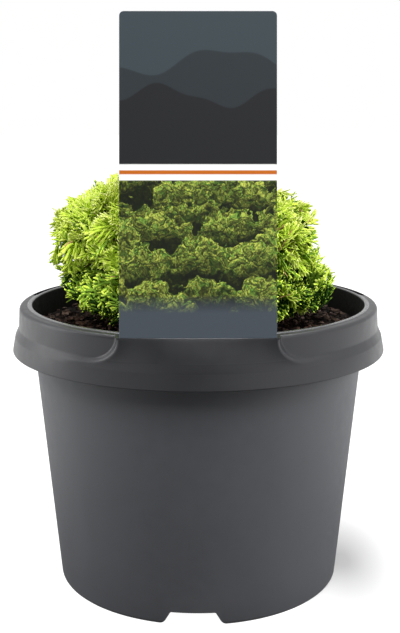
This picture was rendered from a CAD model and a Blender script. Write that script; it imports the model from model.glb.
import math

import bmesh
import bpy
import numpy as np
from mathutils import Matrix, Vector, noise


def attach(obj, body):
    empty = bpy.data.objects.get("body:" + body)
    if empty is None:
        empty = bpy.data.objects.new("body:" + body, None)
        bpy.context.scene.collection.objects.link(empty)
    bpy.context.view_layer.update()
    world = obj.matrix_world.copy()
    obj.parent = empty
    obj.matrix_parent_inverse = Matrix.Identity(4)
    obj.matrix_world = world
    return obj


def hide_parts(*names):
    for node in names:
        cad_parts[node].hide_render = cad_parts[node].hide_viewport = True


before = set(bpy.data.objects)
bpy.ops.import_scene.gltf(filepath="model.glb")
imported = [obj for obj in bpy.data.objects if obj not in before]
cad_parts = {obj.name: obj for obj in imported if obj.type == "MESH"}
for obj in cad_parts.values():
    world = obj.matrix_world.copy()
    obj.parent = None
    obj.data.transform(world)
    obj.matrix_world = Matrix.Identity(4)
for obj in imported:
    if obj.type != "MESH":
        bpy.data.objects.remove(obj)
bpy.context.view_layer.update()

# A young dwarf hinoki cypress in its round nursery pot, with a picture card held in the rim.
# Sizes are millimetres until they reach a mesh. +Z is up and the card is at -Y.
MM = 0.001
BODY = "root"
GAP = 0.3
UP = np.array([0.0, 0.0, 1.0])
GOLDEN_TURN = math.pi * (3 - math.sqrt(5))

# The camera: where it stands, how far it looks down, and its lens for a picture 36 mm high.
EYE = (0.85, -560.5, 249.85)
LOOK_DOWN = 0.2
LENS = 62.9

# The pot, as its rings of [radius, height] and the cuts through them.
POT = {
    "height": 145.0,
    "foot_radius": 72.8,
    "slope": 0.0918,
    "wall": 1.3,
    "floor_under": 8.0,
    "floor_top": 9.8,
    "foot_flat": 2.4,
}
RIM = {
    "skirt_foot": 121.6,
    "skirt_radius": 95.1,
    "step_low": 129.5,
    "step_low_radius": 93.6,
    "step_high": 133.6,
    "step_high_radius": 91.7,
    "top_radius": 91.1,
    "flange": 1.8,
    "wall": 1.5,
    "edge": 2.0,
}
# The flat that carries the card: how far out it stands at its top, and how its corners sweep.
PANEL = {
    "half_width": 35.0,
    "sweep_out": 17.0,
    "sweep_up": 12.5,
    "low": 131.6,
    "fade": 15.0,
    "front": 89.35,
    "crisp": 0.85,
    "soft": 3.2,
}
LIP = {"width": 1.9, "drop": 0.45}
SLOT = {"inner": 86.1, "outer": 89.8, "half_angle": math.radians(80), "foot": 139.0}
POCKET = {"room": 0.6, "front": 0.05, "back": 0.9, "seat_room": 0.06}
NOTCH = {"count": 4, "half_foot": 14.8, "half_top": 10.8, "height": 7.2, "depth": 14.0, "turn": -0.034,
         "foot_round": 5.8, "top_round": 0.9}
DRAIN = {"count": 8, "ring": 56.0, "radius": 5.0}
# How far a cut goes past what it cuts.
PASS = 6.0
# How finely the pot is divided: along its profile, round it, and where its surface creases.
POT_MESH = {"rim_step": 0.45, "step": 14.0, "front": 0.72, "front_turn": 0.0050, "turn": 0.028, "crease": 32}

SOIL = {
    "foot": 10.1,
    "edge": 132.6,
    "crest": 134.4,
    "bump": 1.1,
    "waves": ((0.31, 0.17), (-0.11, 0.43), (0.07, 0.9)),
    "outer_ring": 77.0,
    "inner_ring": 22.0,
    "seat_radius": 12.0,
    "seat": 135.2,
    "foot_bevel": 2.0,
    "lumps": 0.75,
    "lump_pitch": 0.22,
}
SOIL_MESH = {"sides": 300, "ring_step": 1.3, "strewn_rows": 90, "strewn_margin": 2.5}
# What is strewn on the soil: how many, the smallest and largest size, the shape and the seed.
STREWN = {
    "peat_crumbs": (5200, 0.9, 2.8, (1.0, 0.9, 0.75), 11),
    "bark_flakes": (1150, 3.4, 7.6, (1.0, 0.5, 0.28), 23),
    "pale_flakes": (260, 2.0, 4.6, (1.0, 0.55, 0.35), 37),
}

CARD = {
    "width": 69.0,
    "height": 143.0,
    "thick": 0.6,
    "corner": 2.0,
    "tongue_width": 38.0,
    "tongue_taper": 2.0,
    "tongue_depth": 8.0,
    "face": 89.0,
    "lean": 0.2,
    "sunk": 0.45,
    "ease": 0.12,
}

# The plant, by the same rule as its solids.
TRUNK = {
    "tip": 181.0,
    "flare": 8.6,
    "foot": 5.4,
    "end": 1.5,
    "flare_height": 6.0,
    "flare_fall": 2.4,
    "taper": 0.8,
    "sunk": 1.0,
    "waist": (-1.26, 0.14),
    "lean": (-1.8, 1.4),
    "steps": 110,
    "sides": 64,
    "strips": 1.9,
    "relief": 0.085,
}
# The ribs that the trunk's foot spreads into.
RIBS = {"count": 5, "proud": 0.16, "turn": 0.7, "fade": 9}
BOUGH = {"foot": 2.3, "tip": 1.2, "sag": 0.14, "sweep": 0.07, "share": 0.42,
         "steps": 36, "sides": 20, "strips": 1.5, "relief": 0.10}
TWIG = {"foot": 0.55, "tip": 0.32, "places": 5, "sides": 5, "sag": 0.10,
        "stem_tip": 0.6, "stem_places": 9, "stem_sides": 8}
# The crown's outline as heights, how far out it stands at each, and where its middle is along X.
CROWN = {
    "heights": (136.0, 141.0, 147.0, 153.0, 161.0, 167.0, 180.0,
                190.0, 195.0, 198.0, 201.0, 206.0, 210.0, 213.0),
    "radii": (44.0, 57.0, 66.5, 71.5, 72.5, 69.5, 69.0,
              67.5, 64.5, 57.0, 50.0, 46.0, 38.0, 8.0),
    "lean": ((156.0, 0.0), (168.0, -6.5)),
    "full": 72.5,
}
TIERS = (
    {"name": "low", "count": 6, "ring": 39.0, "height": 156.0, "reach": 43.0,
     "turn": 0.0, "root": 140.5, "root_step": 1.7},
    {"name": "high", "count": 5, "ring": 38.0, "height": 181.0, "reach": 45.5,
     "turn": 0.5, "root": 158.0, "root_step": 2.2},
)
TOP = {"name": "top", "height": 189.0, "reach": 45.0}
LOOSE = {"ring": 0.07, "height": 3.5, "reach": 0.05, "turn": 0.12}
MASS = {
    "core": 0.66,
    "sprays": 30,
    "back": -0.1,
    "fill": 0.995,
    "stem_radius": 1.1,
    "stem_share": 0.7,
    "first_twig": 0.5,
    "last_twig": 0.95,
    "twig_sunk": 0.3,
    "lift": 0.38,
    "lay": 0.8,
    "lays": 3,
    "seed": 402,
}
BLADE = {"length": 27.0, "curl": 0.14, "shrink": 0.93, "draw_in": 0.965, "tries": 7}
# Shorter sprays that close the valleys between the main ones.
FILLER = {"ways": 170, "back": -0.2, "apart": 8.2, "lays": 6, "length": 22.0, "off_twig": 0.5,
          "depth": 0.25, "droop": -0.55, "droop_from": (-0.5, 0.1)}
# The sprays that branch off beside a main one: turn in its plane, tilt out of it, how far back, size.
SIDE_SPRAYS = ((0.62, 0.45, 0.18, 0.86), (-0.66, -0.40, 0.30, 0.86), (0.25, -0.85, 0.46, 0.80),
               (-0.30, 0.90, 0.62, 0.80))
# How much a spray cups, sweeps, turns, tilts and twists by chance.
SPRAY_STRAY = {"cup": (-0.06, 0.22), "sweep": 0.12, "turn": 0.2, "tilt": 0.2, "twist": 0.5}
# A spray's green: where it starts, and what height, distance out, depth and chance take or add.
GREENING = {"start": 4.3, "high": 3.8, "out": 0.5, "depth": 2.4, "chance": 1.1, "seen_at": 0.6}
FREE_RIBS = 0.12
HALVINGS = 12


# Tools for shapes.
def unit(vector):
    return vector / np.linalg.norm(vector)


def swung(vector, axis, angle):
    """A vector turned about a unit axis."""
    across = np.cross(axis, vector)
    return (vector * math.cos(angle) + across * math.sin(angle)
            + axis * np.dot(axis, vector) * (1 - math.cos(angle)))


def seeded(seed):
    """The plain random draws that the solids are laid out with."""
    state = seed

    def draw():
        nonlocal state
        state = (state * 1664525 + 1013904223) % 2 ** 32
        return state / 2 ** 32

    return draw


def in_scene(data, materials=()):
    """The object for a mesh, a light or a camera, with its materials."""
    for material in materials:
        data.materials.append(material)
    made = bpy.data.objects.new(data.name, data)
    bpy.context.scene.collection.objects.link(made)
    return made


def piece_of(name, points, faces, materials, dealt=None):
    """A piece from arrays of corners in millimetres and of faces that all have as many corners."""
    mesh = bpy.data.meshes.new(name)
    mesh.vertices.add(len(points))
    mesh.vertices.foreach_set("co", (points * MM).astype(np.float32).ravel())
    mesh.loops.add(faces.size)
    mesh.loops.foreach_set("vertex_index", faces.astype(np.int32).ravel())
    mesh.polygons.add(len(faces))
    mesh.polygons.foreach_set("loop_start", np.arange(0, faces.size, faces.shape[1], dtype=np.int32))
    smooth(mesh)
    piece = in_scene(mesh, materials)
    if dealt is not None:
        mesh.polygons.foreach_set("material_index", dealt.astype(np.int32))
    mesh.update(calc_edges=True)
    return piece


def smooth(mesh):
    mesh.polygons.foreach_set("use_smooth", np.full(len(mesh.polygons), True))


def joined(parts):
    """Several (points, faces) as one."""
    starts = np.cumsum([0] + [len(points) for points, _ in parts[:-1]])
    return (np.concatenate([points for points, _ in parts]),
            np.concatenate([faces + start for (_, faces), start in zip(parts, starts)]))


def skins(rings):
    """Closed skins over stacks of rings of corners: an array of stack, ring, corner, xyz."""
    stacks, count, sides = rings.shape[:3]
    middles = rings[:, [0, -1]].mean(axis=2)
    points = np.concatenate([rings.reshape(stacks, -1, 3), middles], axis=1)
    ring, side = np.meshgrid(np.arange(count - 1), np.arange(sides), indexing="ij")
    here = ring * sides + side
    beside = ring * sides + (side + 1) % sides
    wall = np.stack([here, beside, beside + sides, here, beside + sides, here + sides], axis=-1)
    side = np.arange(sides)
    following = (side + 1) % sides
    last = (count - 1) * sides
    foot = np.stack([np.full(sides, count * sides), following, side], axis=-1)
    tip = np.stack([np.full(sides, count * sides + 1), last + side, last + following], axis=-1)
    faces = np.concatenate([wall.reshape(-1, 3), foot, tip])
    starts = np.arange(stacks) * points.shape[1]
    return points.reshape(-1, 3), (faces[None] + starts[:, None, None]).reshape(-1, 3)


def rods(paths, radii, sides, relief=None):
    """Round rods along paths: arrays of rod, place, xyz and of rod, place."""
    along = np.gradient(paths, axis=1)
    along /= np.linalg.norm(along, axis=-1, keepdims=True)
    chord = paths[:, -1] - paths[:, 0]
    upright = np.abs(chord[:, 2]) > 0.8 * np.linalg.norm(chord, axis=-1)
    guide = np.where(upright[:, None], [[1.0, 0.0, 0.0]], UP)[:, None, :]
    first = np.cross(along, guide)
    first /= np.linalg.norm(first, axis=-1, keepdims=True)
    second = np.cross(along, first)
    turn = np.arange(sides) * 2 * math.pi / sides
    spoke = (first[:, :, None] * np.cos(turn)[:, None] + second[:, :, None] * np.sin(turn)[:, None])
    reach = radii[:, :, None] if relief is None else radii[:, :, None] * relief
    return skins(paths[:, :, None] + spoke * reach[..., None])


def rounded(corners, steps=5):
    """An outline whose corners, given as (x, y, radius), are arcs."""
    outline = []
    count = len(corners)
    for i, (x, y, radius) in enumerate(corners):
        here = np.array([x, y])
        if radius == 0:
            outline.append(here)
            continue
        before = np.array(corners[i - 1][:2]) - here
        after = np.array(corners[(i + 1) % count][:2]) - here
        reach_before, reach_after = np.linalg.norm(before), np.linalg.norm(after)
        before, after = before / reach_before, after / reach_after
        half = math.acos(np.clip(np.dot(before, after), -1, 1)) / 2
        run = min(radius / math.tan(half), 0.48 * reach_before, 0.48 * reach_after)
        radius = run * math.tan(half)
        centre = here + unit(before + after) * radius / math.sin(half)
        start = here + before * run - centre
        finish = here + after * run - centre
        sweep = math.atan2(start[0] * finish[1] - start[1] * finish[0], np.dot(start, finish))
        for turn in np.linspace(0, sweep, steps + 1):
            c, s = math.cos(turn), math.sin(turn)
            outline.append(centre + [start[0] * c - start[1] * s, start[0] * s + start[1] * c])
    return np.array(outline)


def stepped(outline, longest):
    """The same open outline with no stretch longer than a given length."""
    places = [outline[0]]
    for a, b in zip(outline, outline[1:]):
        count = max(1, math.ceil(np.linalg.norm(b - a) / longest))
        places += [a + (b - a) * i / count for i in range(1, count + 1)]
    return np.array(places)


def revolved(profile, turns):
    """A closed body of quads and end fans: a profile from axis to axis, turned about +Z."""
    radius, height = profile[:, 0][:, None], profile[:, 1][:, None]
    grid = np.stack([radius * np.sin(turns), -radius * np.cos(turns), height + 0 * turns], axis=-1)
    return grid[1:-1], grid[0, 0], grid[-1, 0]


def body_of_grid(name, grid, start, finish, materials):
    """The piece for a grid of rings about +Z with a pole at each end."""
    rings, sides = grid.shape[:2]
    mesh = bpy.data.meshes.new(name)
    points = np.concatenate([grid.reshape(-1, 3), [start, finish]]) * MM
    ring, side = np.meshgrid(np.arange(rings - 1), np.arange(sides), indexing="ij")
    here = ring * sides + side
    beside = ring * sides + (side + 1) % sides
    quads = np.stack([here, here + sides, beside + sides, beside], axis=-1).reshape(-1, 4)
    last = (rings - 1) * sides
    fans = [(rings * sides, s, (s + 1) % sides) for s in range(sides)]
    fans += [(rings * sides + 1, last + (s + 1) % sides, last + s) for s in range(sides)]
    mesh.from_pydata(points.tolist(), [], quads.tolist() + fans)
    face_out(mesh)
    return in_scene(mesh, materials)


def face_out(mesh):
    """The mesh with its doubled corners merged and its faces pointing out."""
    work = bmesh.new()
    work.from_mesh(mesh)
    bmesh.ops.remove_doubles(work, verts=work.verts, dist=1e-7)
    bmesh.ops.recalc_face_normals(work, faces=work.faces)
    work.to_mesh(mesh)
    work.free()


def lofted(loops):
    """A closed skin through loops of corners, with a face over each end."""
    work = bmesh.new()
    rows = [[work.verts.new(corner) for corner in loop] for loop in loops]
    for a, b in zip(rows, rows[1:]):
        for k in range(len(a)):
            following = (k + 1) % len(a)
            work.faces.new((a[k], a[following], b[following], b[k]))
    work.faces.new(rows[0])
    work.faces.new(rows[-1])
    bmesh.ops.recalc_face_normals(work, faces=work.faces)
    return work


def mesh_from(name, work, move=Matrix()):
    """The mesh of a skin drawn in millimetres, once it is moved."""
    bmesh.ops.transform(work, verts=work.verts, matrix=Matrix.Scale(MM, 4) @ move)
    mesh = bpy.data.meshes.new(name)
    work.to_mesh(mesh)
    work.free()
    return mesh


def slab(name, outline, near, far, move):
    """A cutter: an outline of [x, z] given its depth along Y, then moved."""
    loops = [[(x, y, z) for x, z in outline] for y in (near, far)]
    return in_scene(mesh_from(name, lofted(loops), move))


def arc_block(name, inner, outer, low, high, middle, half_angle, steps=72):
    """A cutter: a stretch of a ring about +Z."""
    section = ((inner, low), (outer, low), (outer, high), (inner, high))
    loops = [[(radius * math.cos(turn), radius * math.sin(turn), z) for radius, z in section]
             for turn in np.linspace(middle - half_angle, middle + half_angle, steps + 1)]
    return in_scene(mesh_from(name, lofted(loops)))


def round_plug(name, x, y, radius, low, high, sides=32):
    """A cutter: an upright round bar."""
    turns = np.arange(sides) * 2 * math.pi / sides
    loops = [[(x + radius * math.cos(turn), y + radius * math.sin(turn), z) for turn in turns]
             for z in (low, high)]
    return in_scene(mesh_from(name, lofted(loops)))


def cut(piece, cutters):
    """The piece with each cutter taken out of it, as a plain mesh."""
    for cutter in cutters:
        step = piece.modifiers.new("cut", "BOOLEAN")
        step.operation = "DIFFERENCE"
        step.solver = "MANIFOLD"
        step.object = cutter
    keep_evaluated(piece)
    for cutter in cutters:
        bpy.data.objects.remove(cutter)


def keep_evaluated(piece):
    """The mesh that the modifiers give, in place of the modifiers."""
    shown = piece.evaluated_get(bpy.context.evaluated_depsgraph_get())
    mesh = bpy.data.meshes.new_from_object(shown)
    piece.modifiers.clear()
    old = piece.data
    piece.data = mesh
    mesh.name = piece.name
    bpy.data.meshes.remove(old)


def settle(piece, slot, *nodes):
    """The piece joins the body, takes its slot and stands for its nodes."""
    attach(piece, BODY)
    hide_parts(*nodes)


# Tools for materials.
def node(tree, kind, inputs=(), **settings):
    """A node with its settings, whose inputs are values or the sockets that feed them."""
    made = tree.nodes.new(kind)
    for name, value in settings.items():
        setattr(made, name, value)
    for key, value in dict(inputs).items():
        if isinstance(value, bpy.types.NodeSocket):
            tree.links.new(value, made.inputs[key])
        else:
            made.inputs[key].default_value = value
    return made


def maths(tree, operation, *values, **settings):
    """What a math node makes of its values, which are numbers or sockets."""
    return node(tree, "ShaderNodeMath", enumerate(values), operation=operation, **settings).outputs[0]


def vectors(tree, operation, inputs):
    """What a vector math node makes of its inputs, given by their places or names."""
    made = node(tree, "ShaderNodeVectorMath", inputs, operation=operation)
    return made.outputs["Value" if operation in ("DISTANCE", "DOT_PRODUCT") else "Vector"]


def ramp(tree, value, start, finish, low=0.0, high=1.0):
    """A value taken from one range to another, and kept within that."""
    return node(tree, "ShaderNodeMapRange", {"Value": value, "From Min": start, "From Max": finish,
                                             "To Min": low, "To Max": high}).outputs[0]


def mixed(tree, share, first, second, kind="RGBA", blend="MIX"):
    """Two colours or numbers mixed, the second by its share."""
    return node(tree, "ShaderNodeMix", {"Factor": share, "A": first, "B": second},
                data_type=kind, blend_type=blend).outputs["Result"]


def blank_group(name, inputs, outputs, kind="ShaderNodeTree"):
    """A node group with named sockets: each input as (name, kind, value)."""
    tree = bpy.data.node_groups.new(name, kind)
    for label, kind, value in inputs:
        socket = tree.interface.new_socket(label, in_out="INPUT", socket_type="NodeSocket" + kind)
        if value is not None:
            socket.default_value = value
    for label, kind in outputs:
        tree.interface.new_socket(label, in_out="OUTPUT", socket_type="NodeSocket" + kind)
    return tree, tree.nodes.new("NodeGroupInput").outputs, tree.nodes.new("NodeGroupOutput").inputs


def mottle_group():
    """Two colours mixed in soft blotches, with finer blotches over them."""
    tree, given, out = blank_group("mottle", (
        ("Vector", "Vector", None), ("Scale", "Float", 100.0), ("Fine", "Float", 6.0),
        ("Low", "Color", (0, 0, 0, 1)), ("High", "Color", (1, 1, 1, 1))),
        (("Color", "Color"), ("Mask", "Float")))
    broad = node(tree, "ShaderNodeTexNoise", {"Vector": given["Vector"], "Scale": given["Scale"],
                                              "Detail": 3.0})
    finer = maths(tree, "MULTIPLY", given["Scale"], given["Fine"])
    fine = node(tree, "ShaderNodeTexNoise", {"Vector": given["Vector"], "Scale": finer, "Detail": 4.0})
    mask = ramp(tree, maths(tree, "ADD", broad.outputs["Fac"], fine.outputs["Fac"]), 0.72, 1.28)
    tree.links.new(mixed(tree, mask, given["Low"], given["High"]), out["Color"])
    tree.links.new(mask, out["Mask"])
    return tree


def grain_group():
    """A fine relief in the surface, with the height that made it."""
    tree, given, out = blank_group("grain", (
        ("Vector", "Vector", None), ("Scale", "Float", 900.0), ("Detail", "Float", 3.0),
        ("Depth", "Float", 0.0002), ("Strength", "Float", 0.3)),
        (("Normal", "Vector"), ("Height", "Float")))
    field = node(tree, "ShaderNodeTexNoise", {"Vector": given["Vector"], "Scale": given["Scale"],
                                              "Detail": given["Detail"]})
    bump = node(tree, "ShaderNodeBump", {"Height": field.outputs["Fac"], "Distance": given["Depth"],
                                         "Strength": given["Strength"]})
    tree.links.new(bump.outputs["Normal"], out["Normal"])
    tree.links.new(field.outputs["Fac"], out["Height"])
    return tree


MOTTLE = mottle_group()
GRAIN = grain_group()


def finish_of(name, **fixed):
    """A new material with its shader, whose plain values are set on the shader itself."""
    made = bpy.data.materials.new(name)
    made.use_nodes = True
    tree = made.node_tree
    tree.nodes.clear()
    shader = node(tree, "ShaderNodeBsdfPrincipled")
    for label, value in fixed.items():
        shader.inputs[label.replace("_", " ")].default_value = value
    end = node(tree, "ShaderNodeOutputMaterial")
    tree.links.new(shader.outputs[0], end.inputs["Surface"])
    return made, tree, shader


def feed(tree, shader, **sources):
    for label, source in sources.items():
        tree.links.new(source, shader.inputs[label.replace("_", " ")])


def place_in_object(tree):
    return node(tree, "ShaderNodeTexCoord").outputs["Object"]


def use(tree, group, inputs):
    """The outputs of a group placed in a material with its own values."""
    return node(tree, "ShaderNodeGroup", inputs, node_tree=group).outputs


def mottle(tree, place, pitch, fine, low, high):
    return use(tree, MOTTLE, {"Vector": place, "Scale": pitch, "Fine": fine, "Low": low, "High": high})


def grain(tree, place, pitch, detail, depth, strength):
    return use(tree, GRAIN, {"Vector": place, "Scale": pitch, "Detail": detail, "Depth": depth,
                             "Strength": strength})


def between(tree, mask, low, high):
    """A mask from 0 to 1 as a value between two others."""
    return ramp(tree, mask, 0.0, 1.0, low, high)


def colour(red, green, blue):
    return (red, green, blue, 1.0)


def pot_plastic():
    """Dark grey plastic: a matt, hazy body with a fine tooth, a smoother rim, and a lip rubbed pale."""
    made, tree, shader = finish_of("pot_plastic", Specular_IOR_Level=0.38)
    place = place_in_object(tree)
    height = node(tree, "ShaderNodeSeparateXYZ", {0: place}).outputs[2]
    lip = ramp(tree, height, (POT["height"] - 0.35) * MM, (POT["height"] - 0.1) * MM)
    haze = mottle(tree, place, 22.0, 9.0, colour(0.0375, 0.0388, 0.0430), colour(0.0440, 0.0455, 0.0500))
    on_rim = maths(tree, "GREATER_THAN", height, (RIM["skirt_foot"] - 0.3) * MM)
    tone = mixed(tree, on_rim, haze["Color"], colour(0.28, 0.28, 0.29), blend="MULTIPLY")
    tone = mixed(tree, lip, tone, colour(0.075, 0.075, 0.078))
    matt = mixed(tree, on_rim, between(tree, haze["Mask"], 0.50, 0.60),
                 between(tree, haze["Mask"], 0.36, 0.46), kind="FLOAT")
    feed(tree, shader, Base_Color=tone, Roughness=maths(tree, "MULTIPLY_ADD", lip, -0.15, matt),
         Normal=grain(tree, place, 2200.0, 2.0, 0.00006, 0.35)["Normal"])
    return made


def mottled(name, gloss, blotches, low, high, rough, relief, drawn_out=None):
    """A material in two blotched colours, rough by the same blotches, with a fine relief."""
    made, tree, shader = finish_of(name, Specular_IOR_Level=gloss)
    place = place_in_object(tree)
    if drawn_out:
        place = node(tree, "ShaderNodeMapping", {"Vector": place, "Scale": drawn_out}).outputs[0]
    tone = mottle(tree, place, *blotches, low, high)
    feed(tree, shader, Base_Color=tone["Color"], Roughness=between(tree, tone["Mask"], *rough),
         Normal=grain(tree, place, *relief)["Normal"])
    return made


def stained_plastic():
    """The pot's inside, black and dull with damp peat."""
    return mottled("stained_plastic", 0.10, (90.0, 8.0), colour(0.0012, 0.0011, 0.0011),
                   colour(0.0040, 0.0034, 0.0030), (0.55, 0.85), (1400.0, 4.0, 0.0002, 0.5))


def peat():
    """Damp peat, nearly black."""
    return mottled("peat", 0.06, (160.0, 5.0), colour(0.0010, 0.0007, 0.0006),
                   colour(0.0075, 0.0045, 0.0034), (0.95, 0.75), (1500.0, 6.0, 0.0006, 0.8))


def flake_bark(name, low, high):
    """Broken bark and fibre among the peat."""
    return mottled(name, 0.10, (110.0, 4.0), low, high, (0.9, 0.65), (2600.0, 4.0, 0.0003, 0.6))


def cypress_bark(name, low, high):
    """Bark in long strips, paler on the ridges."""
    return mottled(name, 0.3, (420.0, 4.0), low, high, (0.95, 0.75), (2400.0, 5.0, 0.0004, 0.8),
                   drawn_out=(1.0, 1.0, 0.18))


def scaly_shoot(name, tint):
    """Shoots clad in small scale leaves: one plain green and dull, with a fine relief."""
    made, tree, shader = finish_of(name, Base_Color=tint, Specular_IOR_Level=0.0)
    relief = grain(tree, place_in_object(tree), 1300.0, 2.0, 0.0004, 0.5)
    feed(tree, shader, Roughness=between(tree, relief["Height"], 0.45, 0.75), Normal=relief["Normal"])
    return made


SHOOT_TINTS = (
    ("gold_tip", colour(0.56, 0.61, 0.22)),
    ("lime_shoot", colour(0.51, 0.59, 0.140)),
    ("fresh_shoot", colour(0.52, 0.63, 0.092)),
    ("green_shoot", colour(0.46, 0.62, 0.060)),
    ("deep_shoot", colour(0.160, 0.280, 0.030)),
    ("inner_shoot", colour(0.018, 0.050, 0.007)),
)
YOUNG_TWIG = colour(0.36, 0.26, 0.095)
SHOOTS = [scaly_shoot(name, tint) for name, tint in SHOOT_TINTS] + [scaly_shoot("young_twig", YOUNG_TWIG)]
TWIG_TINT = len(SHOOT_TINTS)


# The pot.
def body_radius(height):
    return POT["foot_radius"] + POT["slope"] * height


def rim_line(height):
    """The rim's outer face, away from the raised panel."""
    heights = [RIM["skirt_foot"], RIM["step_low"], RIM["step_high"], POT["height"]]
    radii = [RIM["skirt_radius"], RIM["step_low_radius"], RIM["step_high_radius"], RIM["top_radius"]]
    return np.interp(height, heights, radii)


def panel_line(height, turns):
    """The flat's outer face: round where it leaves the skirt, straight along its top edge."""
    straight = PANEL["front"] / np.maximum(np.cos(turns), 0.5)
    share = eased((height - RIM["step_low"]) / (POT["height"] - RIM["step_low"]) * 0.5) * 2
    return RIM["step_low_radius"] + (straight - RIM["step_low_radius"]) * share


def pot_profile():
    top, wall = POT["height"], RIM["wall"]
    under_flange = top - RIM["flange"]
    inside = [body_radius(POT["floor_top"]) - POT["wall"], body_radius(top) - POT["wall"]]
    foot_in = POT["foot_radius"] - POT["foot_flat"] - 2.6
    return rounded([
        (0, POT["floor_top"], 0),
        (inside[0], POT["floor_top"], 3.0),
        (inside[1], top, 0.7),
        (inside[1] + LIP["width"], top, 0.8),
        (inside[1] + LIP["width"] + 0.7, top - LIP["drop"], 0.6),
        (RIM["top_radius"], top - LIP["drop"], RIM["edge"]),
        (RIM["step_high_radius"], RIM["step_high"], 2.6),
        (RIM["step_low_radius"], RIM["step_low"], 2.6),
        (RIM["skirt_radius"], RIM["skirt_foot"], 0.7),
        (RIM["skirt_radius"] - wall, RIM["skirt_foot"], 0.6),
        (RIM["step_low_radius"] - wall, RIM["step_low"], 1.5),
        (RIM["step_high_radius"] - wall, RIM["step_high"], 1.5),
        (RIM["top_radius"] - wall, under_flange, 1.0),
        (body_radius(under_flange), under_flange, 1.0),
        (POT["foot_radius"], 0, 2.6),
        (foot_in, 0, 0.6),
        (foot_in, POT["floor_under"], 1.0),
        (0, POT["floor_under"], 0),
    ])


def on_rim_face(radius, height):
    """Whether a place is on the rim's outer face or on the round edge above it."""
    on_edge = height > POT["height"] - RIM["flange"] + 0.05
    depth = np.where(on_edge, RIM["edge"] + 0.05, RIM["wall"] / 2)
    return (radius > rim_line(height) - depth) & (height > RIM["skirt_foot"] + 1)


def eased(share):
    share = np.clip(share, 0, 1)
    return share * share * (3 - 2 * share)


def panel_cover(across, height):
    """1 on the raised flat, 0 off it: its lower corners sweep out into the step."""
    across = np.abs(across)
    out, up = PANEL["sweep_out"], PANEL["sweep_up"]
    corner_x = PANEL["half_width"] + out
    corner_z = PANEL["low"] + up
    sweep = (np.hypot((across - corner_x) / out, (height - corner_z) / up) - 1) * (out + up) / 2
    inside = np.where(height > corner_z, PANEL["half_width"] - across,
                      np.where(across < corner_x, sweep, PANEL["low"] - height))
    fade = 1 - eased((across - corner_x) / PANEL["fade"])
    return eased(inside / PANEL["soft"] + 0.5) * fade


def pot_turns():
    """Columns round the pot: close together over the panel, wider elsewhere."""
    front, rest = POT_MESH["front"], 2 * math.pi - POT_MESH["front"]
    close = np.linspace(-front, front, round(2 * front / POT_MESH["front_turn"]), endpoint=False)
    wide = np.linspace(front, rest, round((rest - front) / POT_MESH["turn"]), endpoint=False)
    return np.concatenate([close, wide])


def notch_outline():
    """The notch in the foot: a flat top and sides that round off into the foot."""
    half_foot, half_top, height = NOTCH["half_foot"], NOTCH["half_top"], NOTCH["height"]
    below = -0.02
    return rounded([
        (-half_foot - PASS * 2, -PASS, 0),
        (half_foot + PASS * 2, -PASS, 0),
        (half_foot + PASS * 2, below, 0),
        (half_foot, below, NOTCH["foot_round"]),
        (half_top, height, NOTCH["top_round"]),
        (-half_top, height, NOTCH["top_round"]),
        (-half_foot, below, NOTCH["foot_round"]),
        (-half_foot - PASS * 2, below, 0),
    ])


def pot_grid():
    """The pot's skin before it is cut, with the flat for the card pushed into its rim."""
    outline = pot_profile()
    profile = [outline[0]]
    for a, b in zip(outline, outline[1:]):
        rim = on_rim_face(*a) and on_rim_face(*b)
        profile += list(stepped(np.array([a, b]), POT_MESH["rim_step" if rim else "step"])[1:])
    profile = np.array(profile)
    turns = pot_turns()
    grid, start, finish = revolved(profile, turns)
    radius, height = profile[1:-1, 0][:, None], profile[1:-1, 1][:, None]
    cover = panel_cover(grid[..., 0], grid[..., 2]) * (np.cos(turns) > 0) * on_rim_face(radius, height)
    inset = np.clip(rim_line(height) - radius, 0, None)
    push = 1 + cover * (panel_line(height, turns) - rim_line(height) + PANEL["crisp"] * inset) / radius
    grid[..., :2] *= push[..., None]
    return grid, start, finish


def pot_cutters():
    """What is taken out of the pot: its slot, the card's pocket, its notches and its drain holes."""
    half, low = CARD["tongue_width"] / 2 + POCKET["room"], -CARD["tongue_depth"] - POCKET["room"]
    seat, floor = CARD["width"] / 2 + POCKET["seat_room"], -POCKET["seat_room"]
    pocket = [(-half, low), (half, low), (half, floor), (seat, floor),
              (seat, PASS), (-seat, PASS), (-seat, floor), (-half, floor)]
    cutters = [
        arc_block("slot_cut", SLOT["inner"], SLOT["outer"], SLOT["foot"], POT["height"] + PASS,
                  math.pi / 2, SLOT["half_angle"]),
        slab("pocket_cut", pocket, -POCKET["front"], CARD["thick"] + POCKET["back"], card_place()),
    ]
    near = -POT["foot_radius"] - PASS
    for k in range(NOTCH["count"]):
        turn = Matrix.Rotation(k * 2 * math.pi / NOTCH["count"] + NOTCH["turn"], 4, "Z")
        cutters.append(slab("notch_cut", notch_outline(), near, near + NOTCH["depth"] + PASS, turn))
    for k in range(DRAIN["count"]):
        turn = (k + 0.5) * 2 * math.pi / DRAIN["count"]
        cutters.append(round_plug("drain_cut", DRAIN["ring"] * math.cos(turn), DRAIN["ring"] * math.sin(turn),
                                  DRAIN["radius"], POT["floor_under"] - PASS, POT["floor_top"] + PASS))
    return cutters


def make_pot():
    pot = body_of_grid("pot_shell", *pot_grid(), [pot_plastic(), stained_plastic()])
    cut(pot, pot_cutters())
    smooth(pot.data)
    pot.data.set_sharp_from_angle(angle=math.radians(POT_MESH["crease"]))
    for face in pot.data.polygons:
        spot = face.center / MM
        within = math.hypot(spot.x, spot.y) < body_radius(spot.z) - POT["wall"] / 2
        if within and POT["floor_under"] + 1 < spot.z < POT["height"] - 0.9:
            face.material_index = 1
    settle(pot, "pot", "pot")


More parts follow.
